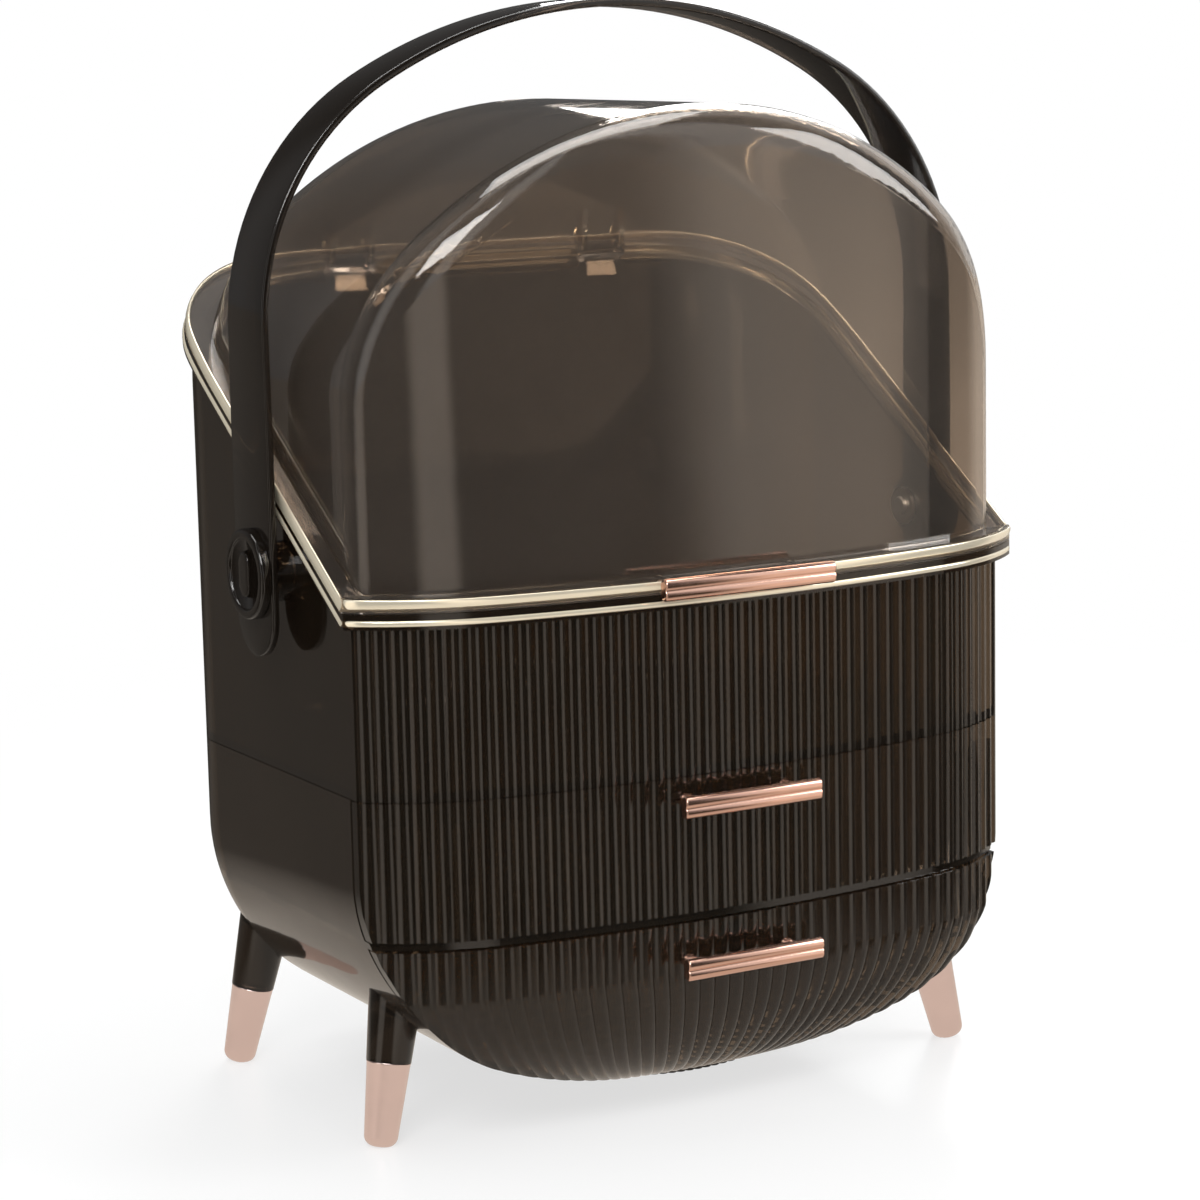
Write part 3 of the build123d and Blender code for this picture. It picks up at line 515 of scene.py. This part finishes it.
def rim_path(reach, lift):
    """Closed path along the slanted rim from the front's middle, reach outside the body."""
    turn = math.asin(BOW_HALF_WIDTH / BOW_RADIUS)
    end_turn = math.asin(math.sin(turn) + (HALF_WIDTH - BOW_HALF_WIDTH) / CORNER_RADIUS)
    level = RIM_FRONT_Z + lift
    path = [Vector((0, CREST_Y - reach, level))]
    for k in range(1, BOW_STEPS + 1):
        angle = turn * k / BOW_STEPS
        path.append(Vector((
            (BOW_RADIUS + reach) * math.sin(angle),
            CREST_Y + BOW_RADIUS - (BOW_RADIUS + reach) * math.cos(angle), level)))
    corner_x = BOW_HALF_WIDTH - CORNER_RADIUS * math.sin(turn)
    corner_y = CREST_Y + BOW_RADIUS * (1 - math.cos(turn)) + CORNER_RADIUS * math.cos(turn)
    for k in range(1, CORNER_STEPS + 1):
        angle = turn + (end_turn - turn) * k / CORNER_STEPS
        path.append(Vector((
            corner_x + (CORNER_RADIUS + reach) * math.sin(angle),
            corner_y - (CORNER_RADIUS + reach) * math.cos(angle), level)))
    edge = BACK_EDGE_RADIUS + reach
    edge_y = BACK_Y + reach - edge
    sides = [(CORNER_Y + (edge_y - CORNER_Y) * k / SIDE_STEPS, 0.0) for k in range(SIDE_STEPS + 1)]
    sides += [
        (edge_y + v, edge - u) for u, v in arc_points((0, 0), edge, 0, 90, EDGE_STEPS)[1:]]
    for y, inset in sides:
        z = level + RIM_SLOPE * (y - CORNER_Y)
        x = HALF_WIDTH + reach - inset
        if z > SHOULDER_Z:
            shoulder = SHOULDER_RADIUS + reach - inset
            x = HALF_WIDTH - SHOULDER_RADIUS + math.sqrt(shoulder**2 - (z - SHOULDER_Z) ** 2)
        path.append(Vector((x, y, z)))
    end = path[-1]
    path += [Vector((end.x * k / BACK_STEPS, end.y, end.z)) for k in range(BACK_STEPS - 1, -1, -1)]
    return path + [Vector((-p.x, p.y, p.z)) for p in reversed(path[1:-1])]


# ------------------------------------------------------------------ operators
class BOX_OT_smoked_body(bpy.types.Operator):
    """Dresses the case, bin, drawers and legs in smoked plastic"""

    bl_idname = "makeup_box.smoked_body"
    bl_label = "Smoked body"

    def execute(self, context):
        finishes = context.scene.box_finishes
        body = smoked_plastic("smoked case", finishes.smoke, clearness=0.93, roughness=0.05)
        reeded = smoked_plastic(
            "smoked reeded front", finishes.smoke, clearness=0.95, roughness=0.04)
        tray = smoked_plastic("smoked tray", finishes.smoke_clear, clearness=0.96, roughness=0.08)
        dress(["lower_case"], body)
        dress(["bin", "upper_drawer_front", "lower_drawer_front"], reeded)
        dress(["upper_drawer_tray", "lower_drawer_tray"], tray)
        legs = [name for name in NODES if name.startswith("leg_") and "tip" not in name]
        dress(legs, dark_smoke(context))
        return {"FINISHED"}


class BOX_OT_clear_lid(bpy.types.Operator):
    """Dresses the lid in clear smoke"""

    bl_idname = "makeup_box.clear_lid"
    bl_label = "Clear lid"

    def execute(self, context):
        clear = smoked_plastic(
            "clear smoke lid", context.scene.box_finishes.smoke_clear,
            clearness=0.97, roughness=0.02, wave=0.01)
        dress(["lid"], clear)
        return {"FINISHED"}


class BOX_OT_carry_handle(bpy.types.Operator):
    """Forms the carry handle's band with rounded edges and round ends"""

    bl_idname = "makeup_box.carry_handle"
    bl_label = "Carry handle"

    def execute(self, context):
        sizes = context.scene.box_sizes
        low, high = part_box("carry_handle")
        end_z = low.z + sizes.handle_arm_width / 2
        path = self.arch(sizes, end_z, high.z)
        points = []
        for x, z, angle in path:
            half = self.half_width(sizes, end_z, high.z, z)
            points += self.section(sizes, half, x, z, angle)
        faces = ring_faces(len(path), len(points) // len(path))
        make_piece("handle_band", points, faces, dark_smoke(context), "handle",
                   ["carry_handle"])
        return {"FINISHED"}

    def arch(self, sizes, end_z, top):
        """The band's outer line as (x, z, turn of its outward side), from right to left."""
        reach, end_radius = sizes.handle_half_width, sizes.handle_arm_width / 2
        side, crown = sizes.handle_side_radius, sizes.handle_crown_radius
        turn = math.acos((reach - side) / (crown - side))
        spring = top - side * math.sin(turn) - crown * (1 - math.sin(turn))
        path = [
            (reach, end_z - end_radius * math.cos(math.radians(90 * k / END_STEPS)), 0.0)
            for k in range(END_STEPS + 1)]
        path += [
            (reach, end_z + (spring - end_z) * k / ARM_STEPS, 0.0)
            for k in range(1, ARM_STEPS + 1)]
        for centre, radius, start, end in (
            ((reach - side, spring), side, 0, math.degrees(turn)),
            ((0, top - crown), crown, math.degrees(turn), 90),
        ):
            path += [
                (x, z, math.atan2(z - centre[1], x - centre[0]))
                for x, z in arc_points(centre, radius, start, end, ARC_STEPS)[1:]]
        return path + [(-x, z, math.pi - angle) for x, z, angle in reversed(path[:-1])]

    def half_width(self, sizes, end_z, top, z):
        """Half the band's width at a height: round at the ends, tapered above the arms."""
        end_radius = sizes.handle_arm_width / 2
        if z < end_z:
            half = math.sqrt(max(end_radius**2 - (end_z - z) ** 2, 0))
        else:
            taper_from = end_z + TAPER_START * end_radius
            share = max(0.0, (z - taper_from) / (top - taper_from))
            half = end_radius + (sizes.handle_top_width / 2 - end_radius) * share
        return max(half, BAND_LEAST_HALF)

    def section(self, sizes, half, x, z, angle):
        """Points round the band at one place, with its edges rounded."""
        thick = sizes.handle_thickness
        rounding = min(sizes.edge_round, half)
        inward = Vector((-math.cos(angle), 0, -math.sin(angle)))
        base = Vector((x, PIVOT.y, z))
        points = []
        for across, depth, start in (
            (half - rounding, rounding, -90), (half - rounding, thick - rounding, 0),
            (rounding - half, thick - rounding, 90), (rounding - half, rounding, 180),
        ):
            edge = arc_points((across, depth), rounding, start, start + 90, BAND_EDGE_STEPS)
            points += [base + Vector((0, u, 0)) + inward * v for u, v in edge]
        return points


class BOX_OT_pivot_caps(bpy.types.Operator):
    """Turns the two pivot caps with their raised rings and upright bosses"""

    bl_idname = "makeup_box.pivot_caps"
    bl_label = "Pivot caps"

    def execute(self, context):
        for side, name in ((-1, "left"), (1, "right")):
            low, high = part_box(f"pivot_cap_{name}")
            inner, outer = sorted((abs(low.x), abs(high.x)))
            points, faces = turned(
                self.profile(inner, outer, (high.z - low.z) / 2), PIVOT, Vector((side, 0, 0)),
                context.scene.box_sizes.lathe_steps)
            add_part(points, faces, *self.boss(side, outer))
            make_piece(f"pivot_cover_{name}", points, faces, dark_smoke(context), "handle",
                       [f"pivot_cap_{name}"])
        return {"FINISHED"}

    def profile(self, inner, outer, radius):
        """The cap's shank and its disc with a raised ring, as (radius, along)."""
        face = outer - DISC_THICKNESS
        line = [(0.0, inner), (SHANK_RADIUS, inner), (SHANK_RADIUS, face),
                (radius - DISC_BACK_ROUND, face)]
        line += arc_points(
            (radius - DISC_BACK_ROUND, face + DISC_BACK_ROUND), DISC_BACK_ROUND, -90, 0, 4)[1:]
        line += arc_points(
            (radius - DISC_RIM_ROUND, outer - DISC_RIM_ROUND), DISC_RIM_ROUND, 0, 90, 6)
        line += arc_points(
            (radius - DISC_LIP_INSET, outer - DISC_LIP_ROUND), DISC_LIP_ROUND, 90, 180, 5)
        return line + [
            (radius - DISC_FLOOR_INSET, outer - DISC_FLOOR_DEPTH),
            (0.0, outer - DISC_MIDDLE_DEPTH)]

    def boss(self, side, outer):
        """Points and faces of an upright oval boss with a domed face."""
        points = []
        for scale, depth in BOSS_LEVELS:
            for k in range(BOSS_STEPS):
                angle = 2 * math.pi * k / BOSS_STEPS
                u = BOSS_HALF_WIDTH * math.cos(angle)
                v = BOSS_HALF_WIDTH * math.sin(angle)
                v += math.copysign(BOSS_HALF_LENGTH - BOSS_HALF_WIDTH, math.sin(angle))
                points.append(Vector((
                    side * (outer - depth * MM), PIVOT.y + u * scale, PIVOT.z + v * scale)))
        return points, ring_faces(len(BOSS_LEVELS), BOSS_STEPS)


class BOX_OT_pull_bars(bpy.types.Operator):
    """Forms the three pull bars, each of two rounds side by side, on two posts"""

    bl_idname = "makeup_box.pull_bars"
    bl_label = "Pull bars"

    def execute(self, context):
        sizes = context.scene.box_sizes
        metal = plated_metal(
            "rose gold bar", context.scene.box_finishes.rose_gold,
            roughness=0.13, stretch=(40.0, 900.0, 900.0))
        for body in ("lid", "upper_drawer", "lower_drawer"):
            node = f"{body}_bar"
            low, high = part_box(node)
            half = (high.x - low.x) / 2
            middle = Vector((0, low.y + sizes.bar_lobe, (low.z + high.z) / 2))
            length = high.y - middle.y
            post = (
                (POST_RADIUS, 0.0), (POST_RADIUS, length - POST_COLLAR),
                (POST_COLLAR_RADIUS, length - POST_COLLAR_EASE), (POST_COLLAR_RADIUS, length))
            points, faces = self.rounds(sizes, half, middle)
            for side in (-1, 1):
                origin = Vector((side * (half - POST_INSET), middle.y, middle.z))
                add_part(points, faces, *turned(post, origin, Vector((0, 1, 0)), POST_STEPS))
            make_piece(f"{node}_rods", points, faces, metal, body, [node])
        return {"FINISHED"}

    def rounds(self, sizes, half, middle):
        """Points and faces of the bar's two rounds, with softly rounded ends."""
        radius, offset = sizes.bar_lobe, sizes.bar_offset
        waist = math.degrees(math.acos(offset / radius))
        outline = []
        for start, centre in ((waist - 90, offset), (waist + 90, -offset)):
            outline += arc_points(
                (0, centre), radius, start, start + 360 - 2 * waist, BAR_ROUND_STEPS)
        ends = []
        for turn in BAR_END_TURNS:
            angle = math.radians(turn)
            ends.append((
                half - BAR_END_ROUND * (1 - math.sin(angle)),
                1 - BAR_END_ROUND * (1 - math.cos(angle)) / radius))
        stations = [(-x, scale) for x, scale in ends] + list(reversed(ends))
        points = [
            middle + Vector((x, y * scale, z * scale)) for x, scale in stations for y, z in outline]
        return points, ring_faces(len(stations), len(outline))


class BOX_OT_leg_tips(bpy.types.Operator):
    """Turns the four plated leg tips"""

    bl_idname = "makeup_box.leg_tips"
    bl_label = "Leg tips"

    def execute(self, context):
        metal = plated_metal(
            "rose gold tip", context.scene.box_finishes.pale_gold,
            roughness=0.18, stretch=(700.0, 700.0, 60.0))
        for depth, lean in (("front", 1), ("back", -1)):
            for side, name in ((-1, "left"), (1, "right")):
                axis = Vector((-side * LEG_INWARD, lean * LEG_TO_MIDDLE, LEG_RISE)).normalized()
                points, faces = turned(
                    self.profile(TIP_HEIGHT / axis.z), Vector((side * FOOT_X, FOOT_Y[depth], 0)),
                    axis, context.scene.box_sizes.lathe_steps)
                points = [Vector((p.x, p.y, max(p.z, 0.0))) for p in points]
                make_piece(f"tip_{depth}_{name}", points, faces, metal, "case",
                           [f"leg_tip_{depth}_{name}"])
        return {"FINISHED"}

    def profile(self, length):
        """A tip's round foot, its cone and its eased upper edge, as (radius, along)."""
        foot = arc_points((TIP_FOOT_FLAT, TIP_FOOT_ROUND), TIP_FOOT_ROUND, -80, -4, 8)
        edge = [(radius * MM, length - below * MM) for radius, below in TIP_EDGE]
        return [(0.0, 0.0), (TIP_FOOT_FLAT, 0.0), *foot, *edge, (0.0, length)]


class BOX_OT_rim_beads(bpy.types.Operator):
    """Lays beads on the rims of bin and lid, in a bright metal that paints their highlights"""

    bl_idname = "makeup_box.rim_beads"
    bl_label = "Rim beads"

    def execute(self, context):
        sizes = context.scene.box_sizes
        # A bright pale gold metal, a painted highlight and warm reflection of the plastic rims
        metal = plated_metal(
            "champagne bead", context.scene.box_finishes.rim_sheen,
            roughness=0.12, stretch=(60.0, 60.0, 400.0), metallic=0.6)
        for body, name, lift, height in (
            ("lid", "lid_bead", LID_BEAD_LIFT, sizes.lid_bead_height),
            ("case", "bin_bead", BIN_BEAD_LIFT, sizes.bin_bead_height),
        ):
            path = rim_path(BEAD_REACH, lift)
            points = []
            for index, place in enumerate(path):
                ahead = path[(index + 1) % len(path)] - path[index - 1]
                outward = ahead.cross(RIM_NORMAL).normalized()
                above = outward.cross(ahead).normalized()
                points += [
                    place + outward * u + above * (v * height / 2 / sizes.bead_depth)
                    for u, v in arc_points((0, 0), sizes.bead_depth, 0, 360, BEAD_STEPS)[:-1]]
            make_piece(name, points, ring_faces(len(path), BEAD_STEPS, loop=True), metal, body)
        return {"FINISHED"}


class BOX_OT_fasteners(bpy.types.Operator):
    """Dresses the screws and pins in steel"""

    bl_idname = "makeup_box.fasteners"
    bl_label = "Screws and pins"

    def execute(self, context):
        steel = plated_metal(
            "satin steel", context.scene.box_finishes.steel,
            roughness=0.28, stretch=(500.0, 500.0, 500.0))
        dress([name for name in NODES if "screw" in name or "hinge_pin" in name], steel)
        return {"FINISHED"}


class BOX_OT_stage(bpy.types.Operator):
    """Sets up the floor, the white surroundings, the lamps and the camera"""

    bl_idname = "makeup_box.stage"
    bl_label = "Stage"

    def execute(self, context):
        studio = context.scene.box_studio
        self.camera(context, studio)
        self.surroundings(context)
        self.floor(context)
        for name, place, aim, size, power in LAMPS:
            self.lamp(context, name, place, aim, size, power * studio.lamp_power)
        context.scene.view_settings.view_transform = "Standard"
        return {"FINISHED"}

    def camera(self, context, studio):
        """The camera at the photograph's angle."""
        azimuth, elevation, roll = studio.azimuth, studio.elevation, studio.roll
        back = Vector((
            -math.sin(azimuth) * math.cos(elevation), -math.cos(azimuth) * math.cos(elevation),
            math.sin(elevation)))
        right = (-back).cross(Vector((0, 0, 1))).normalized()
        up = right.cross(-back)
        across = right * math.cos(roll) + up * math.sin(roll)
        above = up * math.cos(roll) - right * math.sin(roll)
        data = bpy.data.cameras.new("camera")
        data.sensor_width = 36.0
        data.lens = studio.lens
        data.clip_start = 0.05
        data.clip_end = 50.0
        camera = bpy.data.objects.new("camera", data)
        turn = Matrix((across, above, back)).transposed().to_4x4()
        place = Vector(studio.target) + back * studio.distance
        camera.matrix_world = Matrix.Translation(place) @ turn
        context.scene.collection.objects.link(camera)
        context.scene.camera = camera

    def surroundings(self, context):
        """White to the eye and through plastic, panels in gloss, and softer as a light."""
        world = bpy.data.worlds.new("surroundings")
        world.use_nodes = True
        tree = world.node_tree
        light = tree.nodes["Background"]
        light.inputs["Color"].default_value = (1.0, 1.0, 1.0, 1.0)
        path = add_node(tree, "ShaderNodeLightPath")
        seen = add_node(tree, "ShaderNodeMath", operation="MAXIMUM")
        level = add_node(tree, "ShaderNodeMapRange", {"To Min": 0.55})
        where = add_node(tree, "ShaderNodeTexCoord")
        panels = place_group(tree, "studio panels", panels_group)
        gloss = add_node(tree, "ShaderNodeMix", data_type="FLOAT")
        join(
            tree,
            (path, "Is Camera Ray", seen, 0),
            (path, "Is Transmission Ray", seen, 1),
            (seen, "Value", level, "Value"),
            (where, "Generated", panels, "Vector"),
            (path, "Is Glossy Ray", gloss, "Factor"),
            (level, "Result", gloss, "A"),
            (panels, "Level", gloss, "B"),
            (gloss, "Result", light, "Strength"))
        context.scene.world = world

    def floor(self, context):
        """A pale floor that keeps the near shadow and fades into white, with panels in gloss."""
        mesh = bpy.data.meshes.new("floor")
        corners = ((-1, -1), (1, -1), (1, 1), (-1, 1))
        mesh.from_pydata(
            [(x * FLOOR_REACH, y * FLOOR_REACH, 0) for x, y in corners], [], [(0, 1, 2, 3)])
        floor = bpy.data.objects.new("floor", mesh)
        context.scene.collection.objects.link(floor)
        material, tree, shader = start_material("pale floor")
        shader.inputs["Base Color"].default_value = (0.86, 0.86, 0.86, 1.0)
        shader.inputs["Roughness"].default_value = 0.28
        white = add_node(tree, "ShaderNodeEmission", {"Color": (1, 1, 1, 1), "Strength": 1.0})
        warm = add_node(tree, "ShaderNodeEmission", {"Color": (1.0, 0.90, 0.79, 1)})
        panels = place_group(tree, "studio panels", panels_group)
        near = add_node(tree, "ShaderNodeMapRange", {"From Min": 0.24, "From Max": 0.42})
        level = add_node(tree, "ShaderNodeMix", {"A": 0.66}, data_type="FLOAT")
        path = add_node(tree, "ShaderNodeLightPath")
        mirrored = add_node(tree, "ShaderNodeMixShader")
        where = add_node(tree, "ShaderNodeTexCoord")
        length = add_node(tree, "ShaderNodeVectorMath", operation="LENGTH")
        fade = add_node(
            tree, "ShaderNodeMapRange", {"From Min": 0.30, "From Max": 1.0, "To Min": 0.68})
        blend = add_node(tree, "ShaderNodeMixShader")
        join(
            tree,
            (where, "Object", length, 0),
            (length, "Value", fade, "Value"),
            (fade, "Result", blend, "Fac"),
            (shader, "BSDF", blend, 1),
            (white, "Emission", blend, 2),
            (where, "Object", panels, "Vector"),
            (length, "Value", near, "Value"),
            (near, "Result", level, "Factor"),
            (panels, "Level", level, "B"),
            (level, "Result", warm, "Strength"),
            (path, "Is Glossy Ray", mirrored, "Fac"),
            (blend, "Shader", mirrored, 1),
            (warm, "Emission", mirrored, 2),
            (mirrored, "Shader", tree.nodes["Material Output"], "Surface"))
        mesh.materials.append(material)

    def lamp(self, context, name, place, aim, size, power):
        """A soft oblong lamp that faces a point."""
        data = bpy.data.lights.new(name, "AREA")
        data.shape = "RECTANGLE"
        data.size, data.size_y = size
        data.energy = power
        lamp = bpy.data.objects.new(name, data)
        turn = (Vector(aim) - Vector(place)).to_track_quat("-Z", "Y").to_matrix().to_4x4()
        lamp.matrix_world = Matrix.Translation(Vector(place)) @ turn
        context.scene.collection.objects.link(lamp)


class BOX_PT_panel(bpy.types.Panel):
    """Lists the makeup box's sizes, finishes, studio settings and making steps"""

    bl_idname = "BOX_PT_panel"
    bl_label = "Makeup Box"
    bl_space_type = "VIEW_3D"
    bl_region_type = "UI"
    bl_category = "Makeup Box"

    def draw(self, context):
        scene = context.scene
        for settings in (scene.box_sizes, scene.box_finishes, scene.box_studio):
            column = self.layout.column(align=True)
            for name in settings.__annotations__:
                column.prop(settings, name)
        for step in STEPS:
            self.layout.operator(step.bl_idname)


STEPS = (
    BOX_OT_smoked_body, BOX_OT_clear_lid, BOX_OT_carry_handle, BOX_OT_pivot_caps,
    BOX_OT_pull_bars, BOX_OT_leg_tips, BOX_OT_rim_beads, BOX_OT_fasteners, BOX_OT_stage,
)
CLASSES = (BoxSizes, BoxFinishes, StudioSettings, *STEPS, BOX_PT_panel)


def register():
    """Registers the classes and the scene's settings."""
    for cls in CLASSES:
        bpy.utils.register_class(cls)
    bpy.types.Scene.box_sizes = PointerProperty(type=BoxSizes)
    bpy.types.Scene.box_finishes = PointerProperty(type=BoxFinishes)
    bpy.types.Scene.box_studio = PointerProperty(type=StudioSettings)


def unregister():
    """Takes away the scene's settings and the classes."""
    del bpy.types.Scene.box_sizes
    del bpy.types.Scene.box_finishes
    del bpy.types.Scene.box_studio
    for cls in reversed(CLASSES):
        bpy.utils.unregister_class(cls)


def main():
    """Makes every piece in order."""
    register()
    bpy.ops.makeup_box.smoked_body()
    bpy.ops.makeup_box.clear_lid()
    bpy.ops.makeup_box.carry_handle()
    bpy.ops.makeup_box.pivot_caps()
    bpy.ops.makeup_box.pull_bars()
    bpy.ops.makeup_box.leg_tips()
    bpy.ops.makeup_box.rim_beads()
    bpy.ops.makeup_box.fasteners()
    bpy.ops.makeup_box.stage()


if __name__ == "__main__":
    main()
